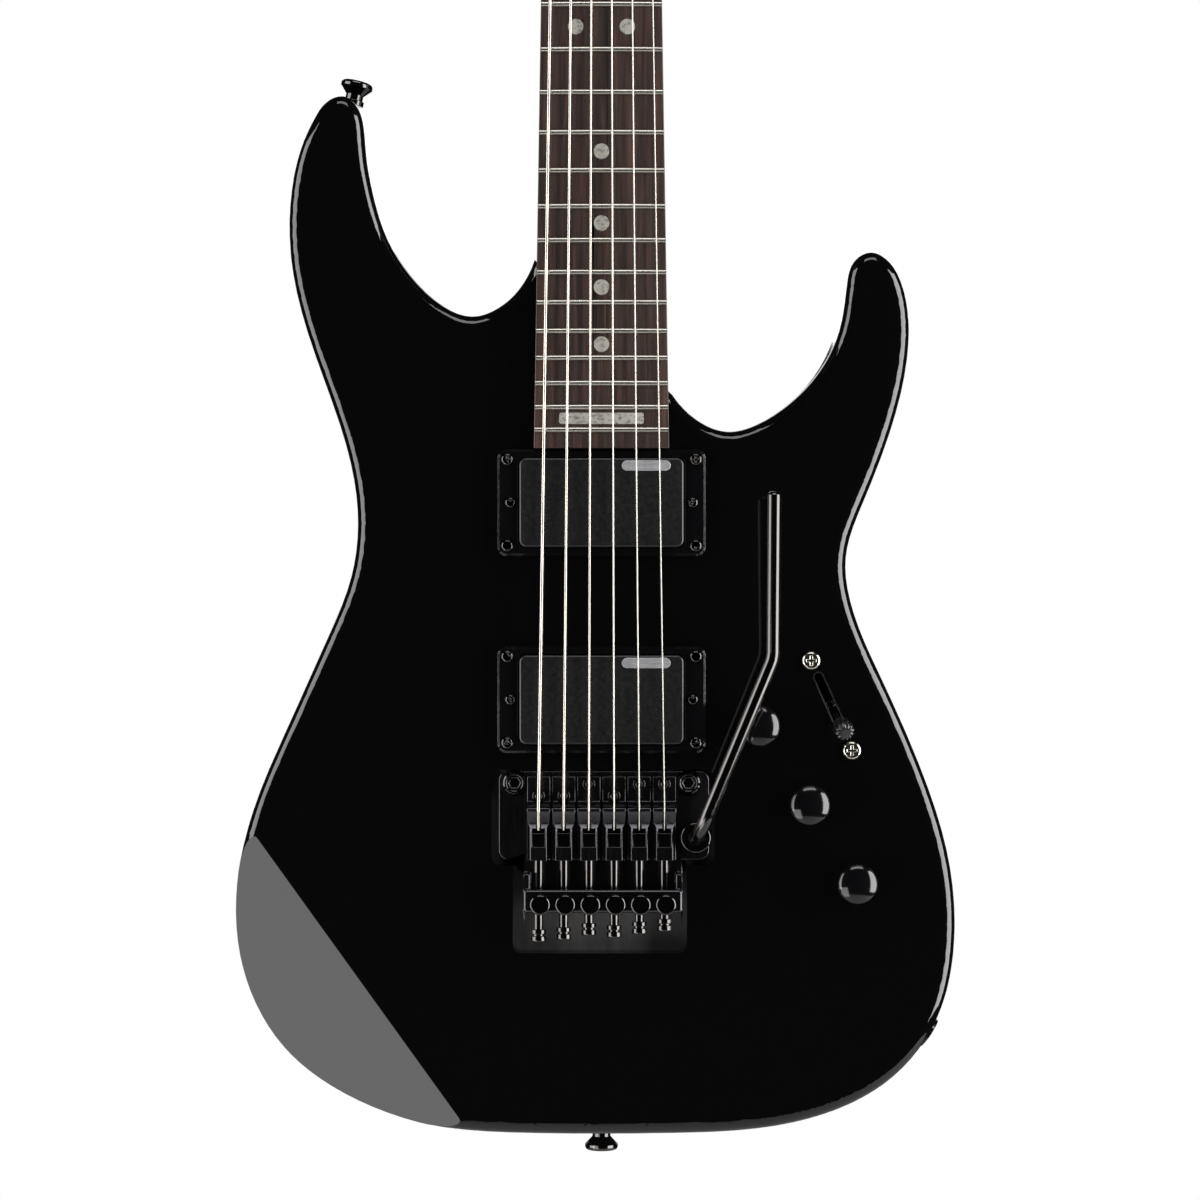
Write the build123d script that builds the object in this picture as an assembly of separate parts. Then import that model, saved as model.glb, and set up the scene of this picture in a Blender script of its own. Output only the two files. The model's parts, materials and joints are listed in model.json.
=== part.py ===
"""A solid-body electric guitar with a bolt-on neck and a double-locking tremolo, in millimetres.

The frame: +Z runs up along the neck, the front faces -Y and +X is the treble side. The origin is where
the end strap button seats on the body, on the centre line at half the body's thickness.
"""
import math
import os

from build123d import *

# ---- Driving dimensions ------------------------------------------------------------------------------
BODY_T = 45.0                 # body thickness
FACE_Y = -BODY_T / 2          # plane of the body's front face
BACK_Y = BODY_T / 2           # plane of the body's back
EDGE_R = 5.5                  # rounding of the body's outline edges
TOP_T = 6.0                   # wood left over the control cavity

SCALE = 647.7                 # nut to saddle, a 25.5 inch scale
SADDLE_Z = 139.4
NUT_Z = SADDLE_Z + SCALE
FRET_COUNT = 24
FRET_HALF = 1.15              # half the width of a fret's crown
BOARD_END_Z = 293.5
BOARD_T = 6.5
BOARD_RADIUS = 400.0
NUT_W = 42.0
LAST_FRET_W = 57.4

STRING_R = (0.62, 0.50, 0.40, 0.31, 0.25, 0.21)   # low string to high string
SADDLE_PITCH = 10.72
NUT_PITCH = 7.0
STRING_LIFT_SADDLE = 10.5     # string height over the face at the saddles
STRING_LIFT_NUT = 8.2

HEEL_DEPTH = 16.0
HEEL_TOP_Z = 365.0
SHOULDER, SHOULDER_STEPS = 42.0, 6    # where the heel eases into the grip
GRIP_DEPTH, GRIP_CORNER = 14.4, 11.5
HEAD_Z = NUT_Z + 16.0         # where the headstock starts to lean back
HEAD_LEAN = 12.0              # degrees
HEAD_T = 14.5

RING_W, RING_H, RING_LIFT = 88.9, 45.5, 4.5
COVER_W, COVER_H, COVER_LIFT = 70.0, 38.0, 7.3
NECK_RING_Z, BRIDGE_RING_Z = 270.3, 186.3

PIVOT_Z = 147.7               # the tremolo rocks about a line along X here
PIVOT_LIFT = -2.0             # height of that line over the face
PLATE_LIFT = -0.5             # top of the tremolo's base plate, over the face
PLATE_T = 3.5
STUD_X, STUD_Z = 37.15, 150.65
TAIL_X = 0.6                  # the tail sits a little to the treble side
FINE_TUNER_Z = 100.2
FINE_TUNER_PITCH = 10.63
LOCK_LIFT = 5.0               # axis of the string lock screws, over the face
LOCK_START_Z = 124.0
LOCK_ENDS_Z = (83.3, 84.2, 86.0, 85.1, 86.6, 87.8)   # each string's screw is driven in by another amount
ARM_X, ARM_Z, ARM_R = 40.1, 127.6, 3.0
BLOCK_SCREW = 12.0            # length of the screws that hold the block under the plate

KNOBS = {"volume_knob": (67.1, 175.3), "bass_knob": (88.3, 141.8), "treble_knob": (108.5, 108.4)}
KNOB_R, KNOB_H, KNOB_DOME = 8.75, 18.0, 15.0
SWITCH_LOW, SWITCH_HIGH = (107.0, 164.5), (89.6, 202.9)
SWITCH_DEPTH = 12.0           # the lever's pivot, under the face
SWITCH_LEAN = 24.0            # degrees either side of the middle position

JACK_X, JACK_Z = 139.4, 42.8
JACK_DIR = (0.83, 0.0, -0.557)
JACK_PLUG_R = 3.3

RETAINER_FEET = (-21.6, 20.6)  # x of the string retainer's two feet
POST_PITCH = 25.0
POST_R = 3.0
TUNER_GEAR_R, TUNER_WORM_R = 5.5, 2.0
SHAFT_R = 2.0
RUN = 0.07                    # running clearance on the radius

BASE = (Align.CENTER, Align.CENTER, Align.MIN)

# The body's outline as (x, z), from the bass side of the neck round the end to the treble side.
OUTLINE = [
    (-28.8, 375.0), (-36.1, 361.5), (-44.5, 354.2), (-55.3, 350.6), (-67.4, 354.8), (-81.4, 367.7),
    (-91.2, 382.8), (-97.6, 402.0), (-100.9, 421.0), (-102.0, 433.0), (-105.0, 441.0), (-110.9, 444.9),
    (-117.8, 442.6), (-123.4, 435.0), (-128.6, 423.5), (-132.7, 406.2), (-133.6, 380.0), (-129.3, 354.9),
    (-120.0, 326.0), (-110.1, 297.2), (-104.6, 267.3), (-107.5, 238.0), (-117.8, 211.7), (-133.1, 177.5),
    (-147.7, 143.3), (-156.2, 109.2), (-156.8, 83.0), (-150.7, 57.9), (-136.0, 34.5), (-109.6, 15.6),
    (-70.7, 3.2), (-30.0, 0.2), (30.0, 0.2), (67.7, 2.3), (96.4, 8.7), (124.2, 23.7), (143.8, 49.3),
    (151.3, 83.0), (148.8, 118.0), (138.3, 153.0), (120.3, 194.6), (106.6, 228.8), (104.8, 247.0),
    (112.6, 271.6), (124.6, 303.6), (131.6, 338.0), (128.8, 364.5), (123.0, 374.4), (115.6, 378.0),
    (108.4, 374.4), (105.0, 363.5), (101.1, 342.1), (92.6, 326.0), (80.0, 312.8), (66.5, 304.2),
    (54.0, 301.2), (42.0, 305.6), (30.5, 317.0),
]
BEVEL_CREST = ((-145.1, 124.1), (-59.2, 4.9))     # the forearm bevel's upper edge on the face
BEVEL_SLOPE = 19.5                                # degrees

# The control cavity's outline on the back, inside which the pots, switch and battery sit.
CAVITY = [(52, 178), (62, 208), (84, 214), (100, 206), (116, 172), (126, 112), (122, 84), (100, 72),
          (88, 92), (60, 148)]
SPRING_CAVITY = (72.0, 105.0, 248.0)              # width, low z, high z
COVER_T = 2.2
COVER_LIP = 6.0
BOLTS = [(-19.0, 303.0), (19.0, 302.0), (-19.0, 346.0), (12.0, 320.0)]


# ---- Frames and small helpers ------------------------------------------------------------------------
def out(x, z, lift=0.0):
    """A frame over the face: local x right, local y up the neck, local z out of the face."""
    return Plane(origin=(x, FACE_Y - lift, z), x_dir=(1, 0, 0), z_dir=(0, -1, 0))


def behind(x, z, lift=0.0):
    """A frame on the back: local z out of the back, local y up the neck."""
    return Plane(origin=(x, BACK_Y + lift, z), x_dir=(-1, 0, 0), z_dir=(0, 1, 0))


def rod(frame, radius, length, start=0.0):
    return frame * Pos(0, 0, start) * Cylinder(radius, length, align=BASE)


def slab(frame, width, height, thickness, corner=0.0, start=0.0):
    """A plate with rounded corners, its thickness running out along the frame's z axis."""
    if corner:
        outline = RectangleRounded(width, height, corner)
    else:
        outline = Rectangle(width, height)
    return frame * Pos(0, 0, start) * extrude(outline, thickness)


def bar(x_range, y_range, z_range):
    """A plain block between two corners in the guitar's own frame."""
    size = [high - low for low, high in (x_range, y_range, z_range)]
    middle = [(high + low) / 2 for low, high in (x_range, y_range, z_range)]
    return Pos(*middle) * Box(*size)


def plate(points, frame, thickness, corner):
    """A plate with the given outline in the frame's x and y, its corners rounded."""
    face = make_face(Polyline(*points, close=True))
    return frame * extrude(fillet(face.vertices(), corner), thickness)


def screw(frame, head_r, head_h, shank_r, shank_l):
    """A domed screw seated on the frame's plane, with a cross recess in its head."""
    head = rod(frame, head_r, head_h)
    head = fillet(head.edges().sort_by(Axis((0, FACE_Y, 0), tuple(frame.z_dir)))[-1:], head_h * 0.6)
    for turn in (0, 90):
        slot = Pos(0, 0, head_h - 0.5) * Rot(0, 0, turn) * Box(head_r * 1.1, head_r * 0.28, 1.0, align=BASE)
        head -= frame * slot
    return head + rod(frame, shank_r, shank_l, -shank_l)


def cut(piece, tools):
    for tool in tools:
        piece = piece - tool
    return piece


def save(name, pieces):
    """Write one sub-part, with its separate pieces as separate solids."""
    solids = [solid for piece in pieces for solid in piece.solids()]
    export_step(Compound(solids), f"parts/{name}.step")


# ---- Strings: where each one runs --------------------------------------------------------------------
def saddle_x(i):
    return (i - 2.5) * SADDLE_PITCH


def string_x(i, z):
    return saddle_x(i) + (NUT_PITCH - SADDLE_PITCH) * (i - 2.5) * (z - SADDLE_Z) / SCALE


def string_y(z):
    rise = (STRING_LIFT_NUT - STRING_LIFT_SADDLE) * (z - SADDLE_Z) / SCALE
    return FACE_Y - STRING_LIFT_SADDLE - rise


def head_frame(x=0.0, y=0.0, lift=0.0):
    """A frame on the leaning headstock's face: local y up the head, local z out of its face."""
    lean = math.radians(HEAD_LEAN)
    up = (0, math.sin(lean), math.cos(lean))
    normal = (0, -math.cos(lean), math.sin(lean))
    origin = (x, FACE_Y + up[1] * y + normal[1] * lift, HEAD_Z + up[2] * y + normal[2] * lift)
    return Plane(origin=origin, x_dir=(1, 0, 0), z_dir=normal)


def post_place(i):
    """Where tuner post i stands on the headstock, just to the bass side of its string."""
    y = 26.0 + POST_PITCH * i
    return string_x(i, HEAD_Z + y) - POST_R - STRING_R[i], y


def tuner_frame(i):
    """A frame at post i: local x points out past the head's bass edge, square to the row of posts."""
    (x0, y0), (x5, y5) = post_place(0), post_place(5)
    along = math.hypot(x5 - x0, y5 - y0)
    side = ((y0 - y5) / along, (x5 - x0) / along)
    x, y = post_place(i)
    face = head_frame(x, y)
    direction = face.x_dir * side[0] + face.y_dir * side[1]
    return Plane(origin=face.origin, x_dir=direction, z_dir=face.z_dir)


def string_path(i):
    """From the lock in the saddle, over the saddle and the nut, under the retainer, to the post."""
    x_entry = saddle_x(i)
    entry = Vector(x_entry, FACE_Y - 7.3, 131.0)
    peak = Vector(x_entry, string_y(SADDLE_Z), SADDLE_Z)
    nut = Vector(string_x(i, HEAD_Z - 2), string_y(HEAD_Z - 2), HEAD_Z - 2)
    retainer = head_frame(string_x(i, HEAD_Z + 9), 9.0, 4.55 - STRING_R[i]).origin
    x_post, y_post = post_place(i)
    post = head_frame(x_post + POST_R + STRING_R[i] + 0.03, y_post - 0.3, 6.5).origin
    return FilletPolyline(entry, peak, nut, retainer, post, radius=1.8)


def string(i):
    path = string_path(i)
    start = Plane(origin=path @ 0, z_dir=path % 0)
    return sweep(start * Circle(STRING_R[i]), path)


# ---- Body ---------------------------------------------------------------------------------------------
def body_blank():
    """The outline, its edges rounded front and back, with the slanted forearm bevel cut off."""
    side = Spline(*OUTLINE)
    outline = make_face([side, Line(side @ 1, side @ 0)])
    blank = out(0, 0) * extrude(outline, -BODY_T)
    rims = [e for e in blank.edges() if abs(e.center().Y) > BACK_Y - 0.1]
    blank = fillet(rims, EDGE_R)
    return blank - bevel_cutter()


def bevel_cutter():
    (x0, z0), (x1, z1) = BEVEL_CREST
    length = math.hypot(x1 - x0, z1 - z0)
    crest = ((x1 - x0) / length, (z1 - z0) / length)
    outward = (crest[1], -crest[0])
    slope = math.radians(BEVEL_SLOPE)
    down = (outward[0] * math.cos(slope), math.sin(slope), outward[1] * math.cos(slope))
    normal = (outward[0] * math.sin(slope), -math.cos(slope), outward[1] * math.sin(slope))
    middle = ((x0 + x1) / 2, FACE_Y, (z0 + z1) / 2)
    return Plane(origin=middle, x_dir=down, z_dir=normal) * Box(200, 320, 60, align=BASE)


def neck_section(z, depth, corner):
    """One section of the neck: flat under the fingerboard, its two back corners rounded."""
    half = board_width(z) / 2
    points = [(-half, FACE_Y), (half, FACE_Y), (half, FACE_Y + depth), (-half, FACE_Y + depth)]
    face = make_face(Polyline(*points, close=True))
    deep = [v for v in face.vertices() if v.Y > FACE_Y + depth / 2]
    return Pos(0, 0, z) * fillet(deep, corner)


def board_width(z):
    return NUT_W + (LAST_FRET_W - NUT_W) * (NUT_Z - z) / (NUT_Z - fret_z(FRET_COUNT))


def fret_z(number):
    return SADDLE_Z + SCALE / 2 ** (number / 12)


def heel(top):
    return loft([neck_section(BOARD_END_Z, HEEL_DEPTH, 2.0), neck_section(top, HEEL_DEPTH, 2.0)], ruled=True)


def tremolo_routs():
    """The stepped recess round the tremolo, the block's slot, and room for the arm's socket."""
    front = slab(out(TAIL_X, 135.7), 95.4, 41.0, -8.0, 3.5)
    rear = slab(out(-0.7, 98.3), 74.5, 41.0, -14.0, 4.0)
    slot = bar((-36, 36), (FACE_Y + 6, BACK_Y), (112, 151))
    socket = rod(out(ARM_X, ARM_Z), 7.4, 16.0, -16.0)
    return [front, rear, slot, socket]


def spring_cavity():
    width, low, high = SPRING_CAVITY
    return slab(behind(0, (low + high) / 2), width, high - low, -18.0, 5.0)


def spring_cover_plate(gap):
    width, low, high = SPRING_CAVITY
    size = 2 * (COVER_LIP - gap)
    return slab(behind(0, (low + high) / 2), width + size, high - low + size, -COVER_T, 6.0)


def control_cover_plate(gap):
    face = make_face(Polyline(*CAVITY, close=True))
    face = offset(fillet(face.vertices(), 6.0), COVER_LIP - gap)
    return Plane(origin=(0, BACK_Y, 0), x_dir=(1, 0, 0), z_dir=(0, -1, 0)) * extrude(face, COVER_T)


def control_cavity():
    frame = Plane(origin=(0, BACK_Y, 0), x_dir=(1, 0, 0), z_dir=(0, -1, 0))
    return plate(CAVITY, frame, BODY_T - TOP_T, 6.0)


def switch_middle():
    return (SWITCH_LOW[0] + SWITCH_HIGH[0]) / 2, (SWITCH_LOW[1] + SWITCH_HIGH[1]) / 2


def switch_frame_plane(depth=0.0):
    """A frame over the switch slot: local x along the slot towards its upper end, local z outward."""
    (x0, z0), (x1, z1) = SWITCH_LOW, SWITCH_HIGH
    length = math.hypot(x1 - x0, z1 - z0)
    x, z = switch_middle()
    along = ((x1 - x0) / length, 0, (z1 - z0) / length)
    return Plane(origin=(x, FACE_Y + depth, z), x_dir=along, z_dir=(0, -1, 0))


def jack_frame():
    return Plane(origin=(JACK_X, 0, JACK_Z), x_dir=(0, 1, 0), z_dir=JACK_DIR)


def pickup_holes():
    cavities = []
    for z in (NECK_RING_Z, BRIDGE_RING_Z):
        cavities.append(slab(out(0, z), 72.5, 40.0, -20.0, 3.0))
        cavities.append(slab(out(0, z), 84.0, 12.0, -20.0, 2.0))
    return cavities


def body():
    wood = cut(body_blank(), [heel(400.0)] + pickup_holes() + tremolo_routs())
    wood = cut(wood, [spring_cavity(), spring_cover_plate(0.0), control_cavity(), control_cover_plate(0.0)])
    wood = cut(wood, [rod(out(x, z), 5.0, TOP_T + 1, -TOP_T - 1) for x, z in KNOBS.values()])
    wood -= slab(switch_frame_plane(), 30.0, 3.2, -TOP_T - 1, 1.5)
    wood = cut(wood, jack_parts_bore() + button_bores())
    return cut(wood, pickup_screws()[:8] + switch_screws() + cover_screws() + bolt_bores() + claw()[1:]
               + [rod(out(x, STUD_Z), 5.6, 30.0, -30.0) for x in (-STUD_X, STUD_X)])


# ---- Neck ---------------------------------------------------------------------------------------------
def headstock():
    """A plain blade: its bass edge runs along the tuners, its tip is rounded."""
    left = [(-21.0, -14.0), (-21.0, 0.0), (-33.4, 15.0), (1.6, 158.0)]
    right = [(15.0, 176.0), (31.0, 174.0), (34.0, 140.0), (24.5, 16.0), (21.0, 0.0), (21.0, -14.0)]
    face = make_face(Polyline(*left, *right, close=True))
    rounds = [v for v in face.vertices() if v.Y > 10]
    blade = head_frame() * extrude(fillet(rounds, 6.5), -HEAD_T)
    return blade - bar((-30, 30), (FACE_Y - 30, FACE_Y), (HEAD_Z - 40, HEAD_Z))


def neck_sections():
    """Place, depth and corner radius of each section, easing from the square heel to the round grip."""
    sections = []
    for step in range(SHOULDER_STEPS + 1):
        share = step / SHOULDER_STEPS
        ease = (1 - math.cos(math.pi * share)) / 2
        depth = HEEL_DEPTH + (GRIP_DEPTH - HEEL_DEPTH) * ease
        sections.append((HEEL_TOP_Z + SHOULDER * share, depth, 2.0 + (GRIP_CORNER - 2.0) * ease))
    return sections + [(HEAD_Z - 4, 12.2, 10.5)]


def neck():
    wood = heel(HEEL_TOP_Z) + headstock()
    sections = neck_sections()
    for low, high in zip(sections, sections[1:]):
        wood += loft([neck_section(*low), neck_section(*high)], ruled=True)
    wood = cut(wood, [truss_rod_channel(), slab(head_frame(0, 13), 9.0, 24.0, -8.0, 4.0)])
    wood = cut(wood, [rod(head_frame(*post_place(i)), 5.0, 40.0, -20.0) for i in range(6)])
    return cut(wood, bolt_bores() + cover_plate_screws() + retainer_screws())


def truss_rod_channel():
    return Plane(origin=(0, FACE_Y + 6.2, 300.0)) * Cylinder(3.1, HEAD_Z + 12 - 300.0, align=BASE)


def truss_rod():
    middle = Plane(origin=(0, FACE_Y + 6.2, 302.0))
    nut = Plane(origin=(0, FACE_Y + 6.2, HEAD_Z + 6.0)) * extrude(RegularPolygon(2.7, 6), 6.0)
    return [rod(middle, 3.0, HEAD_Z + 6.0 - 302.0) + nut]


def truss_rod_cover():
    points = [(-8, 24), (-13, 44), (0, 58), (13, 44), (8, 24)]
    frame = head_frame(3.0, -18.0)
    return cut(plate(points, frame, 2.0, 3.0), cover_plate_screws())


def cover_plate_screws():
    return [screw(head_frame(3.0, 34.0, 2.0), 2.0, 1.2, 1.0, 9.0)]


def crown_cylinder(radius_change=0.0):
    """The round surface that the fingerboard's top follows."""
    centre = FACE_Y - BOARD_T + BOARD_RADIUS
    return Pos(0, centre, 550) * Cylinder(BOARD_RADIUS + radius_change, 700)


def dot_discs():
    discs = []
    for number in (3, 5, 7, 9, 15, 17, 19, 21):
        z = (fret_z(number) + fret_z(number - 1)) / 2
        discs.append(rod(out(0, z, BOARD_T - 1.6), 3.3, 4.0))
    for x in (-11.0, 11.0):
        z = (fret_z(12) + fret_z(11)) / 2
        discs.append(rod(out(x, z, BOARD_T - 1.6), 3.3, 4.0))
    discs.append(slab(out(0, (fret_z(24) + fret_z(23)) / 2, BOARD_T - 1.6), 36.0, 4.8, 4.0, 1.0))
    return [disc & crown_cylinder() for disc in discs]


def fingerboard():
    low, high = board_width(BOARD_END_Z) / 2, NUT_W / 2
    points = [(-low, BOARD_END_Z), (low, BOARD_END_Z), (high, NUT_Z), (-high, NUT_Z)]
    blank = out(0, 0) * extrude(make_face(Polyline(*points, close=True)), BOARD_T + 1)
    return cut(blank & crown_cylinder(), dot_discs())


def fret(number):
    """A crowned wire, swept round the fingerboard's radius."""
    z = fret_z(number)
    top = FACE_Y - BOARD_T
    profile = make_face([Line((0, top, z - FRET_HALF), (0, top, z + FRET_HALF)),
                         ThreePointArc((0, top, z + FRET_HALF), (0, top - 1.1, z), (0, top, z - FRET_HALF))])
    axis = Axis((0, top + BOARD_RADIUS, 0), (0, 0, 1))
    arc = 2 * math.degrees(math.asin((board_width(z) / 2 - 0.3) / BOARD_RADIUS))
    return revolve(profile, axis, arc).rotate(axis, -arc / 2)


def nut_base():
    block = bar((-NUT_W / 2, NUT_W / 2), (FACE_Y - STRING_LIFT_NUT, FACE_Y), (NUT_Z, HEAD_Z - 1))
    block = fillet(block.edges().filter_by(Axis.X).group_by(Axis.Y)[0], 1.0)
    return cut(block, [string(i) for i in range(6)] + nut_clamp_screws())


def clamp_frame(pair):
    """Where the screw of one nut clamp is seated, between the two strings that it holds."""
    return out((pair - 1) * 2 * NUT_PITCH, (NUT_Z + HEAD_Z - 1) / 2, 12.0)


def nut_clamps():
    clamps = []
    for pair in range(3):
        frame = clamp_frame(pair)
        x = frame.origin.X
        block = bar((x - 6.2, x + 6.2), (FACE_Y - 13.0, FACE_Y - STRING_LIFT_NUT), (NUT_Z + 3, HEAD_Z - 4))
        block = fillet(block.edges().group_by(Axis.Y)[0], 1.2)
        bore = [rod(frame, 2.7, 6.0, -1.0), rod(frame, 1.6, 12.0, -10.0)]
        clamps.append(cut(block, [string(i) for i in range(6)] + bore))
    return clamps


def nut_clamp_screws():
    screws = []
    for pair in range(3):
        frame = clamp_frame(pair)
        head = rod(frame, 2.7, 2.6, -1.0) - frame * Pos(0, 0, -0.5) * extrude(RegularPolygon(1.5, 6), 3.0)
        screws.append(head + rod(frame, 1.6, 9.0, -10.0))
    return screws


def retainer_screws():
    return [screw(head_frame(x, 9.0, 8.6), 2.1, 1.6, 1.2, 16.0) for x in RETAINER_FEET]


def string_retainer():
    """A bar that holds the strings down behind the nut, standing on a foot at each end."""
    low, high = RETAINER_FEET
    middle = head_frame((low + high) / 2, 9.0)
    rail = middle * Pos(0, 0, 6.6) * Rot(0, 90, 0) * Cylinder(2.0, high - low)
    feet = [slab(head_frame(x, 9.0), 4.4, 6.0, 8.6, 1.0) for x in RETAINER_FEET]
    return cut(rail + feet[0] + feet[1], retainer_screws())


# ---- Tuners -------------------------------------------------------------------------------------------
def tuner_housing(i):
    """A closed gear case behind the headstock, hollow round the gear and the worm."""
    frame = tuner_frame(i)
    case = frame * Pos(0, 2.0, -HEAD_T) * extrude(RectangleRounded(16.0, 18.5, 3.0), -10.0)
    hollows = [rod(frame, TUNER_GEAR_R + 0.4, 3.6, -HEAD_T - 6.6), rod(frame, POST_R + RUN, 8.0, -HEAD_T - 4.0)]
    worm = worm_frame(i)
    hollows += [rod(worm, TUNER_WORM_R + 0.8, 11.0, -5.5), rod(worm, SHAFT_R + RUN, 12.0)]
    return cut(case, hollows)


def worm_frame(i):
    """A frame along the button's shaft, which passes beside the gear."""
    frame = tuner_frame(i)
    reach = TUNER_GEAR_R + TUNER_WORM_R + 0.3
    origin = frame.origin + frame.y_dir * reach - frame.z_dir * (HEAD_T + 4.8)
    return Plane(origin=origin, x_dir=frame.y_dir, z_dir=frame.x_dir)


def tuner_bushing(i):
    frame = tuner_frame(i)
    collar = frame * extrude(RegularPolygon(5.8, 6), 2.6) + rod(frame, 7.0, 0.9)
    sleeve = rod(frame, 5.0, 9.0, -9.0)
    return (collar + sleeve) - rod(frame, POST_R + RUN, 20.0, -12.0)


def tuner_post(i):
    """The string post with its gear, and the string's turns round it."""
    frame = tuner_frame(i)
    post = rod(frame, POST_R, HEAD_T + 16.0, -HEAD_T - 5.6)
    post = fillet(post.edges().sort_by(Axis((0, 0, 0), tuple(frame.z_dir)))[-1:], 0.8)
    gear = rod(frame, TUNER_GEAR_R, 3.0, -HEAD_T - 6.3)
    wraps = []
    for turn in range(2 if i == 0 else 3):
        height = 6.5 - (2.4 + 2.05 * turn) * STRING_R[i]
        wraps.append(frame * Pos(0, 0, height) * Torus(POST_R + STRING_R[i], STRING_R[i]))
    return [post + gear] + wraps


def tuner_button(i):
    """The worm's shaft and its oval button, outside the head's bass edge."""
    worm = worm_frame(i)
    shaft = rod(worm, SHAFT_R, 20.5) + rod(worm, TUNER_WORM_R + 0.25, 10.0, -5.0)
    oval = worm * Pos(0, 0, 25.6) * Rot(0, 90, 90) * extrude(Ellipse(5.8, 8.9), 3.3, both=True)
    oval = fillet(oval.edges(), 2.2)
    return shaft - rod(worm, SHAFT_R, 0.5, 20.5) + oval


# ---- Pickups ------------------------------------------------------------------------------------------
def pickup_ring(z):
    ring = slab(out(0, z), RING_W, RING_H, RING_LIFT, 4.0)
    ring = chamfer(ring.edges().group_by(Axis.Y)[0], 1.0)
    return cut(ring - slab(out(0, z), COVER_W + 0.8, COVER_H + 0.8, 10.0, 3.2, -1.0), pickup_screws())


def pickup_cover(z):
    cover = slab(out(0, z), COVER_W, COVER_H, COVER_LIFT + 9.0, 3.0, -9.0)
    cover = fillet(cover.edges().group_by(Axis.Y)[0], 1.0)
    return cover - slab(out(0, z), COVER_W - 3, COVER_H - 3, COVER_LIFT + 7.5, 1.5, -9.0)


def pickup_works(z):
    """Two bobbins with their blade magnets on a base plate with an ear at each side."""
    base = slab(out(0, z), COVER_W, COVER_H, -1.2, 2.0, -9.0) + slab(out(0, z), 84.0, 8.0, -1.2, 1.5, -9.0)
    base = cut(base, pickup_screws()[8:])
    bobbins = []
    for side in (-8.5, 8.5):
        bobbin = slab(out(0, z + side), 62.0, 15.0, 13.0, 6.0, -9.0)
        blade = slab(out(0, z + side), 54.0, 3.0, 13.5, 0.5, -9.0)
        bobbins += [bobbin - blade, blade]
    return [base] + bobbins


def pickup_screws():
    """Eight ring screws into the body, then four height screws into the pickups' ears."""
    screws = []
    for ring_z in (NECK_RING_Z, BRIDGE_RING_Z):
        for x in (-40.2, 40.2):
            for z in (-18.4, 18.4):
                screws.append(screw(out(x, ring_z + z, RING_LIFT - 0.4), 2.5, 1.5, 1.2, 14.0))
    for ring_z in (NECK_RING_Z, BRIDGE_RING_Z):
        for x in (-38.9, 38.9):
            screws.append(screw(out(x, ring_z, RING_LIFT - 0.4), 2.15, 1.4, 1.0, 15.0))
    return screws


# ---- Tremolo ------------------------------------------------------------------------------------------
def bridge_stud(x):
    """A height-adjustable post with a waist for the knife edge, in its threaded insert."""
    frame = out(x, STUD_Z)
    head = rod(frame, 4.9, 2.6, -0.8)
    head = chamfer(head.edges().group_by(Axis.Y)[0], 0.6) - rod(frame, 3.5, 1.0, 1.4)
    post = head + rod(frame, 3.4, 3.0, -3.8) + rod(frame, 4.9, 3.4, -7.2) + rod(frame, 4.0, 16.0, -23.2)
    insert = rod(frame, 5.6, 18.0, -26.0) - rod(frame, 4.0, 16.0, -23.2)
    return [post - frame * Pos(0, 0, 0.2) * extrude(RegularPolygon(2.6, 6), 3.0), insert]


def base_plate():
    """The rocking plate, notched round the studs, with the tall bar that carries the fine tuners."""
    front = slab(out(1.05, 136.7, PLATE_LIFT), 89.9, 37.8, -PLATE_T, 4.0)
    rear = slab(out(TAIL_X, 110.0, PLATE_LIFT), 67.4, 26.0, -PLATE_T, 2.0)
    bridge = slab(out(TAIL_X, 101.2, 10.6), 67.4, 9.8, 3.6, 1.5)
    bridge = fillet(bridge.edges().group_by(Axis.Y)[0], 1.3)
    cheeks = [slab(out(TAIL_X + x, 104.5, PLATE_LIFT - 1.0), 2.6, 16.0, 13.0, 0.6) for x in (-32.4, 32.4)]
    metal = front + rear + bridge + cheeks[0] + cheeks[1]
    metal = cut(metal, [rod(out(x, STUD_Z), 5.5, 12.0, -6.0) for x in (-STUD_X, STUD_X)])
    metal = cut(metal, [rod(fine_tuner_frame(i), 1.9 + RUN, 8.0, -6.0) for i in range(6)])
    return cut(metal, [rod(out(ARM_X, ARM_Z), 5.0, 12.0, -6.0)] + bridge_screws())


def block():
    mass = slab(out(0, 129.5, PLATE_LIFT - PLATE_T), 66.0, 15.0, -34.0, 1.5)
    holes = [rod(out(x, 134.5), 1.4, 6.0, -40.0) for x in (-17, 0, 17)]
    return cut(mass, holes + bridge_screws())


def saddle(i):
    """One saddle: a tongue screwed to the plate, the ridge that carries the string, and the lock."""
    lifts = [(-0.5, 118.0), (9.0, 118.0), (9.0, 130.6), (7.0, 133.6), (9.6, 137.6), (10.4, 139.0),
             (10.4, 140.2), (8.0, 142.0), (2.2, 142.8), (2.2, 153.4), (-0.5, 153.4)]
    points = [(0, FACE_Y - lift, z) for lift, z in lifts]
    profile = make_face(Polyline(*points, close=True))
    metal = Pos(saddle_x(i) - 4.9, 0, 0) * extrude(profile, 9.8, dir=(1, 0, 0))
    pocket = bar((saddle_x(i) - 2.8, saddle_x(i) + 2.8), (FACE_Y - 12, FACE_Y - 2.5), (123.8, 131.6))
    groove = bar((saddle_x(i) - 0.9, saddle_x(i) + 0.9), (FACE_Y - 12, FACE_Y - 6.2), (130.0, 135.0))
    metal = cut(metal, [saddle_shoulder(i, side) for side in (-1, 1)])
    return cut(metal, [pocket, groove, string(i)] + string_lock(i) + bridge_screws())


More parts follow.
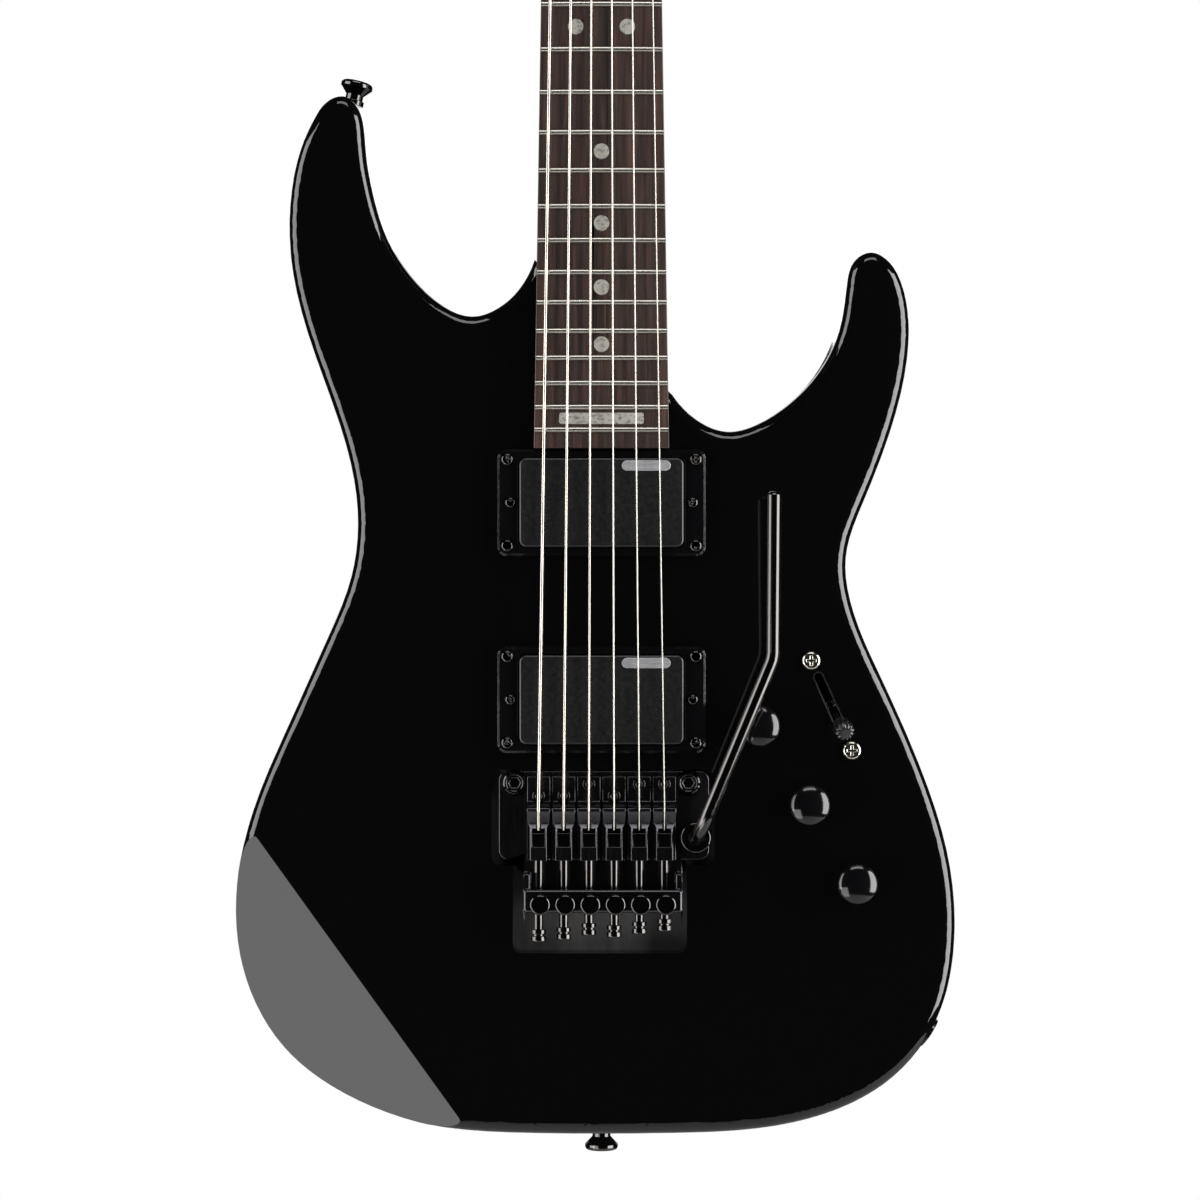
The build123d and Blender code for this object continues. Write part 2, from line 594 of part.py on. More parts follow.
def saddle_shoulder(i, side):
    """What is milled off beside the saddle's lock, down to the shoulder, with a slanted front."""
    points = [(3.5, 117.0), (6.0, 117.0), (6.0, 134.6), (4.9, 134.6), (3.5, 131.8)]
    outline = make_face(Polyline(*[(side * x, z) for x, z in points], close=True))
    return out(saddle_x(i), 0, 4.2) * extrude(outline, 9.0)


def string_lock(i):
    """The small block that clamps the string's end, and the long screw that drives it."""
    x = saddle_x(i)
    insert = bar((x - 2.6, x + 2.6), (FACE_Y - 8.6, FACE_Y - 2.5), (LOCK_START_Z, 129.6))
    frame = Plane(origin=(x, FACE_Y - LOCK_LIFT, LOCK_START_Z), x_dir=(1, 0, 0), z_dir=(0, 0, -1))
    reach = LOCK_START_Z - LOCK_ENDS_Z[i]
    head = rod(frame, 3.2, 2.4, reach - 2.4)
    head = fillet(head.edges().group_by(Axis.Z)[0], 0.7)
    head += rod(frame, 2.4, 1.0, reach - 3.4) + rod(frame, 3.2, 1.8, reach - 5.2)
    head -= frame * Pos(0, 0, reach - 2.6) * extrude(RegularPolygon(1.7, 6), 8.0)
    return [insert, rod(frame, 1.95, reach - 5.2) + head]


def bridge_screws():
    """Six screws that hold the saddles, and three long ones that hold the block under the plate."""
    screws = []
    for i in range(6):
        z = 150.3 if i in (2, 4, 5) else 145.3
        frame = out(saddle_x(i), z, 2.2)
        head = rod(frame, 2.6, 2.6) - frame * Pos(0, 0, 1.0) * extrude(RegularPolygon(1.5, 6), 3.0)
        screws.append(head + rod(frame, 1.5, 5.8, -5.8))
    for x in (-21.5, 7.9, 26.5):
        screws.append(rod(out(x, 122.5, PLATE_LIFT - PLATE_T), 2.0, BLOCK_SCREW, -BLOCK_SCREW))
    return screws


def fine_tuner_frame(i):
    return out(TAIL_X + (i - 2.5) * FINE_TUNER_PITCH, FINE_TUNER_Z, 14.2)


def fine_tuner(i):
    frame = fine_tuner_frame(i)
    knob = rod(frame, 4.35, 7.0, 0.4)
    knob = fillet(knob.edges().group_by(Axis.Y)[0], 1.0)
    return knob + rod(frame, 1.9, 6.6, -6.2)


def arm_socket():
    frame = out(ARM_X, ARM_Z)
    collar = rod(frame, 6.5, 8.0, PLATE_LIFT) + rod(frame, 5.0, 13.0, PLATE_LIFT - 12.5)
    collar = fillet(collar.edges().group_by(Axis.Y)[0], 0.8)
    return collar - rod(frame, ARM_R + RUN, 30.0, -11.0)


def arm_path():
    return FilletPolyline((ARM_X, FACE_Y + 10.5, ARM_Z), (ARM_X, FACE_Y - 27.0, ARM_Z),
                          (71.6, FACE_Y - 33.0, 204.6), (71.6, FACE_Y - 45.0, 274.0), radius=14.0)


def trem_arm():
    path = arm_path()
    tube = sweep(Plane(origin=path @ 0, z_dir=path % 0) * Circle(ARM_R), path)
    tip = tube.edges().filter_by(GeomType.CIRCLE).sort_by(Axis.Z)[-1:]
    return fillet(tip, 2.2)


def claw():
    """The plate that anchors the springs, and the two long screws that pull it."""
    hook = bar((-28, 28), (7.0, 17.0), (233.5, 236.0))
    screws = []
    for x in (-17.0 + 8.5, 17.0 - 8.5):
        frame = Plane(origin=(x, 12.0, 231.5), x_dir=(1, 0, 0), z_dir=(0, 0, -1))
        screws.append(rod(frame, 3.2, 2.0, -2.0) + rod(frame, 2.0, 30.0, -32.0))
    return [cut(hook, screws)] + screws


def trem_spring(x):
    frame = Plane(origin=(x, 11.5, 138.0))
    return rod(frame, 4.0, 94.5) - rod(frame, 3.0, 96.0, -1.0)


# ---- Controls -----------------------------------------------------------------------------------------
def knob(x, z):
    """A domed knob, hollow underneath, on its pot's shaft."""
    frame = out(x, z)
    dome = frame * Pos(0, 0, KNOB_H - KNOB_DOME) * Sphere(KNOB_DOME)
    cap = (frame * Pos(0, 0, 0.6) * Cone(KNOB_R, KNOB_R - 0.4, KNOB_H, align=BASE)) & dome
    cap = fillet(cap.edges().filter_by(lambda edge: edge.is_closed).group_by(Axis.Y)[0], 2.0)
    shaft = rod(out(x, z), 3.0, 24.0, -10.0)
    return [cut(cap, [rod(out(x, z), 7.2, 4.0, -0.5), shaft]), shaft]


def pot(x, z):
    """A pot hung under the face by its threaded bushing, washer and nut."""
    frame = out(x, z)
    can = rod(frame, 12.0, 9.0, -TOP_T - 9.0) + rod(frame, 4.7, TOP_T + 3.0, -TOP_T)
    can -= rod(frame, 3.0 + RUN, 20.0, -10.1)
    washer = rod(frame, 6.4, 0.5) - rod(frame, 4.7, 0.5)
    nut = frame * Pos(0, 0, 0.5) * extrude(RegularPolygon(6.2, 6), 2.0) - rod(frame, 4.7, 3.0)
    return [can, washer, nut]


def switch_screws():
    return [screw(out(x, z), 3.9, 2.0, 1.6, TOP_T + 4.0) for x, z in (SWITCH_LOW, SWITCH_HIGH)]


def switch_frame():
    """The bracket under the slot: a plate held by two screws, two cheeks and the lever's pivot pin."""
    frame = switch_frame_plane()
    top = slab(frame, 52.0, 11.0, -1.5, 1.5, -TOP_T) - slab(frame, 31.0, 4.0, -8.0, 1.0, -TOP_T + 1)
    cheeks = [frame * Pos(0, y, -TOP_T - 1.5) * Box(24, 1.2, 13, align=(Align.CENTER, Align.CENTER, Align.MAX))
              for y in (-4.9, 4.9)]
    pin = frame * Pos(0, 0, -SWITCH_DEPTH) * Rot(90, 0, 0) * Cylinder(1.2, 9.0)
    screws = switch_screws()
    return [cut(top + cheeks[0] + cheeks[1] + pin, screws)] + screws


def lever_frame():
    """A frame at the lever's pivot, leaned to the lower end of the slot where it rests."""
    return switch_frame_plane(SWITCH_DEPTH) * Rot(0, -SWITCH_LEAN, 0)


def switch_lever():
    frame = lever_frame()
    hub = frame * Rot(90, 0, 0) * Cylinder(2.6, 8.0)
    blade = frame * Box(4.4, 1.6, 24.0, align=BASE)
    bore = frame * Rot(90, 0, 0) * Cylinder(1.2 + 0.05, 20.0)
    return hub + blade - bore


def switch_tip():
    frame = lever_frame()
    body_of_tip = rod(frame, 4.3, 9.0, 21.0)
    body_of_tip = fillet(body_of_tip.edges().sort_by(Axis((0, FACE_Y, 0), (0, -1, 0)))[-1:], 3.0)
    return body_of_tip - frame * Box(4.4, 1.6, 24.0, align=BASE)


def jack_parts_bore():
    return [rod(jack_frame(), 6.0, 60.0, -46.0), rod(jack_frame(), 11.5, 8.0, -0.6)]


def output_jack():
    """A barrel socket let into the body's edge behind a round dished flange."""
    frame = jack_frame()
    flange = rod(frame, 11.0, 1.6, -0.6)
    flange = fillet(flange.edges().sort_by(Axis((0, 0, 0), JACK_DIR))[-1:], 1.0)
    barrel = rod(frame, 6.0, 42.4, -43.0) + rod(frame, 6.8, 2.4, 1.0)
    return (flange + barrel) - rod(frame, JACK_PLUG_R, 36.0, -32.6)


def strap_frames():
    lean = math.radians(13.0)
    return [Plane(origin=(0, 0, 0), x_dir=(1, 0, 0), z_dir=(0, 0, -1)),
            Plane(origin=(-107.8, 0, 444.3), x_dir=(0, 1, 0), z_dir=(math.sin(lean), 0, math.cos(lean)))]


def strap_button(frame):
    """A flared button turned in one piece, with its wood screw."""
    base = rod(frame, 4.75, 2.2, -1.0) + rod(frame, 3.9, 4.0)
    flare = frame * Pos(0, 0, 3.6) * Cone(3.9, 7.1, 3.4, align=BASE)
    head = rod(frame, 7.1, 2.5, 7.0)
    head = fillet(head.edges().sort_by(Axis((0, 0, 0), tuple(frame.z_dir)))[-1:], 1.6)
    return base + flare + head + rod(frame, 2.0, 22.0, -22.0)


def button_bores():
    """Screw holes and seats for the strap buttons, so that each base sinks in the rounded edge."""
    return [strap_button(frame) for frame in strap_frames()]


def neck_bolts():
    """Four bolts with their sunk ferrules, through the body into the heel."""
    bolts = []
    for x, z in BOLTS:
        frame = behind(x, z)
        ferrule = rod(frame, 7.0, 4.0, -4.0) - rod(frame, 4.4, 3.0, -2.6) - rod(frame, 2.5, 9.0, -8.0)
        bolts += [ferrule, screw(behind(x, z, -2.6), 4.4, 2.4, 2.5, 36.0)]
    return bolts


def bolt_bores():
    """The ferrules' seats in the body, and the bolts' holes through it into the heel."""
    return [rod(behind(x, z), *size) for x, z in BOLTS for size in ((7.0, 5.0, -4.0), (2.5, 40.0, -38.6))]


def cover_screws():
    width, low, high = SPRING_CAVITY
    edge = width / 2 + 2.6
    places = [(x, z) for x in (-edge, edge) for z in (low + 4, (low + high) / 2, high - 4)]
    places += [(60.0, 211.5), (102.5, 209.0), (128.0, 98.0), (92.0, 75.5), (51.0, 160.0)]
    return [screw(behind(x, z, -0.6), 2.4, 1.2, 1.1, 10.0) for x, z in places]


def battery():
    cell = bar((79, 105.5), (1.0, 18.5), (116, 164.5))
    return fillet(cell.edges().filter_by(Axis.Z), 1.5)


def main():
    os.makedirs("parts", exist_ok=True)
    strings = [string(i) for i in range(6)]
    groups = {
        "body": [body()],
        "neck": [neck()],
        "fingerboard": [fingerboard()],
        "frets": [fret(number) for number in range(1, FRET_COUNT + 1)],
        "inlays": dot_discs(),
        "truss_rod": truss_rod(),
        "truss_rod_cover": [truss_rod_cover()] + cover_plate_screws(),
        "nut_base": [nut_base()],
        "nut_clamps": nut_clamps(),
        "nut_clamp_screws": nut_clamp_screws(),
        "string_retainer": [string_retainer()] + retainer_screws(),
        "neck_bolts": neck_bolts(),
        "strings": strings,
        "tuner_housings": [tuner_housing(i) for i in range(6)],
        "tuner_bushings": [tuner_bushing(i) for i in range(6)],
        "pickup_rings": [pickup_ring(z) for z in (NECK_RING_Z, BRIDGE_RING_Z)],
        "pickup_covers": [pickup_cover(z) for z in (NECK_RING_Z, BRIDGE_RING_Z)],
        "pickup_coils": pickup_works(NECK_RING_Z) + pickup_works(BRIDGE_RING_Z),
        "pickup_screws": pickup_screws(),
        "bridge_studs": bridge_stud(-STUD_X) + bridge_stud(STUD_X),
        "trem_base_plate": [base_plate()],
        "trem_block": [block()],
        "saddles": [saddle(i) for i in range(6)],
        "string_locks": [piece for i in range(6) for piece in string_lock(i)],
        "bridge_screws": bridge_screws(),
        "arm_socket": [arm_socket()],
        "trem_arm": [trem_arm()],
        "spring_claw": claw(),
        "trem_springs": [trem_spring(x) for x in (-17.0, 0.0, 17.0)],
        "pots": [piece for x, z in KNOBS.values() for piece in pot(x, z)],
        "switch_frame": switch_frame(),
        "switch_lever": [switch_lever()],
        "switch_tip": [switch_tip()],
        "output_jack": [output_jack()],
        "strap_buttons": [strap_button(frame) for frame in strap_frames()],
        "control_cover": [cut(control_cover_plate(0.3), cover_screws())],
        "spring_cover": [cut(spring_cover_plate(0.3), cover_screws())],
        "cover_screws": cover_screws(),
        "battery": [battery()],
    }
    for name, (x, z) in KNOBS.items():
        groups[name] = knob(x, z)
    for i in range(6):
        groups[f"tuner_post_{i + 1}"] = tuner_post(i)
        groups[f"tuner_button_{i + 1}"] = [tuner_button(i)]
        groups[f"fine_tuner_{i + 1}"] = [fine_tuner(i)]
    for name, pieces in groups.items():
        save(name, pieces)


if __name__ == "__main__":
    main()
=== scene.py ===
"""The finished surfaces of a solid-body electric guitar, built round its packed mechanical model.

Metres. +Z runs up the neck, the front faces -Y and +X is the treble side.
"""
import json
import math

import bmesh
import bpy
from mathutils import Matrix, Vector


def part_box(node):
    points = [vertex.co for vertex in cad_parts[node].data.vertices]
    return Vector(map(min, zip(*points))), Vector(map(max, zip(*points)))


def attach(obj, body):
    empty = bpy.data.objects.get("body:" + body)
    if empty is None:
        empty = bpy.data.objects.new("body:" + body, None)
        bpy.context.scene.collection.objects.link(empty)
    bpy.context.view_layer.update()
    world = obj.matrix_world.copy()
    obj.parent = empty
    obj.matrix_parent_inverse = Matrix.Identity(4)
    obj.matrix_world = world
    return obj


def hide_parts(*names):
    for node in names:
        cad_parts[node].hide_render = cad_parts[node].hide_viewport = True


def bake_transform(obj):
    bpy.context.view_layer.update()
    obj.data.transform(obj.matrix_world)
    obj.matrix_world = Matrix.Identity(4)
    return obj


bl_info = {
    "name": "Electric guitar finishes",
    "version": (1, 0, 0),
    "blender": (4, 5, 0),
    "location": "3D View > Sidebar > Guitar",
    "description": "Lacquer, wood, plating, strings and springs for the guitar, and its studio",
    "category": "Object",
}

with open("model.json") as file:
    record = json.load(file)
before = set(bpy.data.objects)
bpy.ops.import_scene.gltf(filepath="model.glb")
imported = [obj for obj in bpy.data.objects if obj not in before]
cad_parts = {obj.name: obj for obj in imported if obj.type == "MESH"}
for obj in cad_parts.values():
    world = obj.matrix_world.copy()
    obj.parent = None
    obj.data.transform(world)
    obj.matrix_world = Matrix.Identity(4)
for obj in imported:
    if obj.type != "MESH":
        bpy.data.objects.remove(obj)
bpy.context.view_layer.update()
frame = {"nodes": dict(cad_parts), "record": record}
NODES = frame["nodes"]
BODY_OF = {node: body for body, nodes in frame["record"]["behaviour"]["bodies"].items() for node in nodes}
MM = 0.001
BROAD_FACE = 900 * MM * MM    # a flat face wider than this keeps a slight crease beside another
SLIGHT_ANGLE = 15.0           # degrees: edges that turn less are always smooth
SMOOTH_ANGLE = 32.0           # degrees: edges that turn further are sharp
WELD = 0.002 * MM             # points nearer than this are one point
FLAT_ANGLE = 0.03             # degrees: triangles that turn less make one flat face
BEVEL_ANGLE = 48.0            # degrees: edges that turn further are rounded
EDGE_ROUND_USUAL = 0.15       # millimetres, for the parts not named below
STRING_STEPS = 8              # rings along the stretch of string that bends with the bridge
PAST_SADDLE = 14 * MM         # from the saddles' neck end back to where strings ride wholly with the bridge
WOUND_STRINGS = 3             # the thickest strings, which are wrapped
RECESS_DEPTH = 1.5 * MM       # level surfaces of the body that lie further than this behind its face,
COVER_DEPTH = 3.5 * MM        # and further than this in front of its back, are painted
WRAP_SCALE = 1000 / math.pi   # wave scale that puts the rings of wrap wire about 1 mm apart
ROOM_LIGHT = 0.02             # strength of the room's light against the white backdrop
FLOOR_Z, FLOOR_RADIUS = -0.60, 1.1
SPRAYED = ("body", "neck")    # big curved parts that keep the exact directions of their own surfaces
EDGE_ROUND = {                # millimetres taken off each part's sharp edges
    "trem_base_plate": 0.3, "pickup_rings": 0.4, "pickup_covers": 0.12,
    "saddles": 0.2, "fingerboard": 0.3, "frets": 0.0, "inlays": 0.0, "battery": 0.3, "pickup_coils": 0.0,
    "truss_rod": 0.0, "tuner_housings": 0.4,
}
# The switch tip's outline: millimetres from the lever's pivot, radius, and how deep its flutes are there.
SWITCH_TIP = [
    (21.0, 3.3, 0), (21.2, 3.6, 0), (21.8, 3.8, 0.3), (23.0, 4.0, 1), (25.0, 4.15, 1), (27.0, 4.3, 1),
    (28.4, 4.3, 1), (29.3, 4.0, 1), (29.8, 3.3, 1), (30.0, 2.4, 0.7), (30.0, 1.3, 0.2), (30.0, 0.6, 0),
]
TIP_SIDES, TIP_FLUTES, FLUTE_DEPTH = 96, 12, 0.75 * MM
# Outlines of flat pills: length, width and height above the face they lie on, in millimetres.
BADGE = [(20.8, 4.4, -0.3), (20.8, 4.4, 0.22), (20.3, 3.9, 0.34)]
SLOT_LINER = [(31.8, 5.0, -0.2), (31.4, 4.6, 0.3), (30.4, 3.6, 0.3), (30.1, 3.3, -0.2)]
BADGE_X = 19.0 * MM
BADGE_ABOVE_LOW, BADGE_BELOW_HIGH = 34.7 * MM, 3.3 * MM    # from the covers' lowest and highest edges


# ---- Sizes that a user would change ------------------------------------------------------------------
class GuitarFinish(bpy.types.PropertyGroup):
    lacquer: bpy.props.FloatVectorProperty(
        name="Lacquer", description="Colour under the clear polish", subtype="COLOR",
        default=(0.0012, 0.0012, 0.0014), min=0, max=1)
    lacquer_roughness: bpy.props.FloatProperty(
        name="Lacquer roughness", description="How far the polish scatters a reflection", default=0.045,
        min=0, max=1)
    grain_length: bpy.props.FloatProperty(
        name="Grain length", description="Length of a pore streak in the fingerboard", default=22 * MM,
        unit="LENGTH")


class GuitarStrings(bpy.types.PropertyGroup):
    blend_length: bpy.props.FloatProperty(
        name="Bending stretch", description="Length of string before the saddle that bends with the bridge",
        default=45 * MM, unit="LENGTH")


class GuitarSprings(bpy.types.PropertyGroup):
    wire: bpy.props.FloatProperty(
        name="Wire", description="Diameter of the tremolo springs' wire", default=1.1 * MM, unit="LENGTH")
    turns: bpy.props.IntProperty(name="Turns", description="Turns in one spring", default=46, min=4)


class GuitarStage(bpy.types.PropertyGroup):
    distance: bpy.props.FloatProperty(
        name="Camera distance", description="From the lens to the body's face", default=1.5, unit="LENGTH")
    frame_width: bpy.props.FloatProperty(
        name="Framed width", description="Width that the camera takes in at the body's face",
        default=0.5129, unit="LENGTH")
    centre: bpy.props.FloatVectorProperty(
        name="Framed centre", description="X and Z at the middle of the frame", size=2,
        default=(-0.64 * MM, 228.8 * MM), unit="LENGTH")


SETTINGS = {"finish": GuitarFinish, "strings": GuitarStrings, "springs": GuitarSprings, "stage": GuitarStage}


def settings(context, name):
    return getattr(context.scene, "guitar_" + name)


# ---- Node trees ---------------------------------------------------------------------------------------
def linear(colour):
    """An sRGB hex colour, such as "#2b1b17", as linear RGBA."""
    channels = [int(colour[i:i + 2], 16) / 255 for i in (1, 3, 5)]
    return [c / 12.92 if c <= 0.04045 else ((c + 0.055) / 1.055) ** 2.4 for c in channels] + [1.0]


def add_node(tree, kind, values=None, links=None, **options):
    """Add one node: options set its properties, values its sockets, links join other sockets to it."""
    node = tree.nodes.new(kind)
    for name, value in options.items():
        setattr(node, name, value)
    for name, value in (values or {}).items():
        node.inputs[name].default_value = value
    for name, socket in (links or {}).items():
        tree.links.new(socket, node.inputs[name])
    return node


def new_material(name, **values):
    """A material with one Principled shader, whose sockets take the values given."""
    material = bpy.data.materials.new(name)
    material.use_nodes = True
    shader = material.node_tree.nodes["Principled BSDF"]
    for socket, value in values.items():
        shader.inputs[socket.replace("_", " ")].default_value = value
    return material, material.node_tree, shader


def add_ramp(tree, fac, stops):
    node = add_node(tree, "ShaderNodeValToRGB", links={"Fac": fac})
    ramp = node.color_ramp
    while len(ramp.elements) < len(stops):
        ramp.elements.new(0.5)
    for element, (position, colour) in zip(ramp.elements, stops):
        element.position = position
        element.color = colour if isinstance(colour, (list, tuple)) else (colour, colour, colour, 1)
    return node.outputs["Color"]


def object_space(tree, scale):
    """Object coordinates in metres, stretched by the scale: repeats per metre on each axis."""
    coordinates = add_node(tree, "ShaderNodeTexCoord")
    mapping = add_node(tree, "ShaderNodeMapping", {"Scale": scale}, {"Vector": coordinates.outputs["Object"]})
    return mapping.outputs["Vector"]


def add_bump(tree, shader, height, distance, strength=1.0):
    bump = add_node(tree, "ShaderNodeBump", {"Distance": distance, "Strength": strength}, {"Height": height})
    tree.links.new(bump.outputs["Normal"], shader.inputs["Normal"])


def noise(tree, scale, detail=3.0, roughness=0.5, distortion=0.0):
    """Noise whose scale is in repeats per metre on each axis."""
    values = {"Scale": 1.0, "Detail": detail, "Roughness": roughness, "Distortion": distortion}
    return add_node(tree, "ShaderNodeTexNoise", values, {"Vector": object_space(tree, scale)}).outputs["Fac"]


# ---- Materials ----------------------------------------------------------------------------------------
def polyester_lacquer(finish):
    """Polyester lacquer, sprayed and buffed: a black mirror with a trace of orange peel and haze."""
    material, tree, shader = new_material("polyester_lacquer_buffed", IOR=1.5, Coat_Weight=0.0)
    shader.inputs["Base Color"].default_value = (*finish.lacquer, 1)
    haze = add_ramp(tree, noise(tree, (90, 90, 90)), [(0.3, finish.lacquer_roughness * 0.7),
                                                      (0.8, finish.lacquer_roughness * 1.5)])
    tree.links.new(haze, shader.inputs["Roughness"])
    add_bump(tree, shader, noise(tree, (160, 160, 160), 1.0), 0.003 * MM)
    return material


def rosewood(finish):
    """Oiled rosewood, planed and sanded: brown-black figure with fine open pores along the neck."""
    material, tree, shader = new_material("rosewood_oiled", IOR=1.46)
    along = 1 / finish.grain_length
    figure = noise(tree, (330, 330, along * 0.35), 4.0, 0.6, 0.6)
    colour = add_ramp(tree, figure, [(0.28, linear("#17100e")), (0.46, linear("#291c18")),
                                     (0.60, linear("#3b2923")), (0.78, linear("#553c33"))])
    pores = noise(tree, (2600, 2600, along * 1.2), 2.0, 0.6)
    dark = add_ramp(tree, pores, [(0.36, 0.30), (0.50, 1.0)])
    shade = add_node(tree, "ShaderNodeMix", {"Factor": 1.0}, data_type="RGBA", blend_type="MULTIPLY")
    tree.links.new(colour, shade.inputs["A"])
    tree.links.new(dark, shade.inputs["B"])
    tree.links.new(shade.outputs["Result"], shader.inputs["Base Color"])
    tree.links.new(add_ramp(tree, pores, [(0.36, 0.62), (0.55, 0.40)]), shader.inputs["Roughness"])
    add_bump(tree, shader, pores, 0.05 * MM, 0.7)
    return material


def plated_metal(name, colour, roughness, brushed=0.0):
    """Plating over polished steel: even colour, with the faint drag of the buffing wheel in its gloss."""
    material, tree, shader = new_material(name, Metallic=1.0)
    shader.inputs["Base Color"].default_value = linear(colour)
    drag = noise(tree, (900, 900, 120), 2.0)
    tree.links.new(add_ramp(tree, drag, [(0.3, roughness * 0.88), (0.75, roughness * 1.14)]),
                   shader.inputs["Roughness"])
    if brushed:
        add_bump(tree, shader, noise(tree, (4000, 4000, 180), 1.0), brushed)
    return material


def moulded_abs(name, colour, roughness, texture=0.0):
    """Moulded ABS: the mould's even grain, deep enough on satin parts to break up a highlight."""
    material, tree, shader = new_material(name, IOR=1.53)
    base = linear(colour)
    worn = [min(1.0, channel * 1.35) for channel in base[:3]] + [1.0]
    tone = add_ramp(tree, noise(tree, (120, 120, 120)), [(0.35, base), (0.75, worn)])
    tree.links.new(tone, shader.inputs["Base Color"])
    tree.links.new(add_ramp(tree, noise(tree, (500, 500, 500)), [(0.3, roughness * 0.85),
                                                                (0.7, roughness * 1.15)]),
                   shader.inputs["Roughness"])
    if texture:
        add_bump(tree, shader, noise(tree, (2600, 2600, 2600), 2.0), texture)
    return material


def pearl():
    """Pearloid celluloid, sliced and polished: milky flakes that turn from grey to white."""
    material, tree, shader = new_material("pearloid_polished", Roughness=0.16, IOR=1.5, Coat_Weight=0.6,
                                          Coat_Roughness=0.05)
    flakes = add_node(tree, "ShaderNodeTexVoronoi", {"Scale": 1.0, "Randomness": 1.0},
                      {"Vector": object_space(tree, (620, 620, 900))}, feature="SMOOTH_F1")
    swirl = noise(tree, (260, 260, 420), 3.0, 0.6, 1.2)
    mixed = add_node(tree, "ShaderNodeMath", {}, {0: flakes.outputs["Distance"], 1: swirl}, operation="ADD")
    colour = add_ramp(tree, mixed.outputs[0], [(0.35, linear("#4c4e4e")), (0.62, linear("#71706c")),
                                               (0.95, linear("#98958d"))])
    tree.links.new(colour, shader.inputs["Base Color"])
    return material


def wound_string():
    """Nickel-wound steel: rings of wrap wire, drawn 1 mm apart because real ones are too fine to show."""
    material, tree, shader = new_material("nickel_wound_string", Metallic=1.0, Roughness=0.27)
    shader.inputs["Base Color"].default_value = linear("#bfb8ae")
    rings = add_node(tree, "ShaderNodeTexWave", {"Scale": WRAP_SCALE, "Distortion": 0.0},
                     {"Vector": object_space(tree, (1, 1, 1))}, bands_direction="Z")
    add_bump(tree, shader, rings.outputs["Fac"], 0.02 * MM)
    return material


def foil_print():
    """Aluminium foil under a thin clear coat: a pale even grey that also scatters the room's light."""
    material, tree, shader = new_material("aluminium_foil_print", Metallic=0.25, Roughness=0.45, IOR=1.5)
    rolled = noise(tree, (200, 2600, 2600), 2.0)
    tree.links.new(add_ramp(tree, rolled, [(0.3, linear("#808082")), (0.75, linear("#9c9c9e"))]),
                   shader.inputs["Base Color"])
    return material


def shielding_paint():
    """Shielding paint brushed on the routed wood of the cavities: dark grey, matt and streaked."""
    material, tree, shader = new_material("shielding_paint_on_wood", Roughness=0.75, IOR=1.45)
    strokes = noise(tree, (300, 300, 60), 4.0, 0.6)
    tree.links.new(add_ramp(tree, strokes, [(0.3, linear("#3c3c3c")), (0.8, linear("#545352"))]),
                   shader.inputs["Base Color"])
    add_bump(tree, shader, strokes, 0.1 * MM)
    return material


def make_materials(finish):
    """Every material, by the short name that NODE_FINISH uses."""
    return {
        "lacquer": polyester_lacquer(finish),
        "rosewood": rosewood(finish),
        "fret": plated_metal("nickel_silver_dressed", "#bdb9b0", 0.30),
        "pearl": pearl(),
        "black_chrome": plated_metal("black_chrome_plate", "#4c4a49", 0.13),
        "black_nickel": plated_metal("black_nickel_satin", "#474649", 0.24, 0.003 * MM),
        "nickel": plated_metal("nickel_plate_polished", "#c9c4bb", 0.17),
        "steel": plated_metal("spring_steel_drawn", "#b9b9ba", 0.28, 0.01 * MM),
        "plain_string": plated_metal("tinned_steel_string", "#c9c4bc", 0.24),
        "wound_string": wound_string(),
        "satin_abs": moulded_abs("abs_moulded_satin", "#0d0d0e", 0.36, 0.012 * MM),
        "gloss_abs": moulded_abs("abs_moulded_gloss", "#060607", 0.10),
        "tip_abs": moulded_abs("abs_moulded_half_gloss", "#141415", 0.17),
        "plate_abs": moulded_abs("abs_sheet_matt", "#121213", 0.48, 0.02 * MM),
        "badge": foil_print(),
        "copper": plated_metal("enamelled_copper", "#a5552c", 0.35),
        "zinc": plated_metal("cast_zinc_block", "#77777a", 0.42, 0.02 * MM),
        "paint": shielding_paint(),
    }


# The parts that each finish is on. Every other part is black chrome.
NODE_FINISH = {node: finish for finish, nodes in {
    "lacquer": ["body", "neck"],
    "rosewood": ["fingerboard"],
    "fret": ["frets"],
    "pearl": ["inlays"],
    "steel": ["truss_rod"],
    "copper": ["pickup_coils"],
    "nickel": ["spring_claw", "pots", "switch_frame", "switch_lever"],
    "black_nickel": ["trem_base_plate", "saddles"],
    "zinc": ["trem_block"],
    "gloss_abs": ["truss_rod_cover", "pickup_rings", "volume_knob", "bass_knob", "treble_knob"],
    "satin_abs": ["pickup_covers", "battery"],
    "plate_abs": ["control_cover", "spring_cover"],
}.items() for node in nodes}
OWN_OPERATOR = ("strings", "trem_springs", "switch_tip")    # nodes that are not finished as they stand
MATERIALS = {}


def finish_of(node):
    return MATERIALS[NODE_FINISH.get(node, "black_chrome")]


# ---- Meshes -------------------------------------------------------------------------------------------
def add_piece(name, mesh, body, materials, nodes=()):
    """Put a finished mesh in the scene, riding on a body and standing for the nodes given."""
    piece = bpy.data.objects.new(name, mesh)
    bpy.context.scene.collection.objects.link(piece)
    for material in materials:
        mesh.materials.append(material)
    if body:
        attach(piece, body)
    if nodes:
        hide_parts(*nodes)
    return piece


def joined_copy(node):
    """The node's own mesh with its loose triangles joined and its flat faces made whole."""
    shape = bmesh.new()
    shape.from_mesh(NODES[node].data)
    bmesh.ops.remove_doubles(shape, verts=shape.verts, dist=WELD)
    bmesh.ops.dissolve_limit(shape, angle_limit=math.radians(FLAT_ANGLE), verts=shape.verts,
                             edges=shape.edges)
    return shape


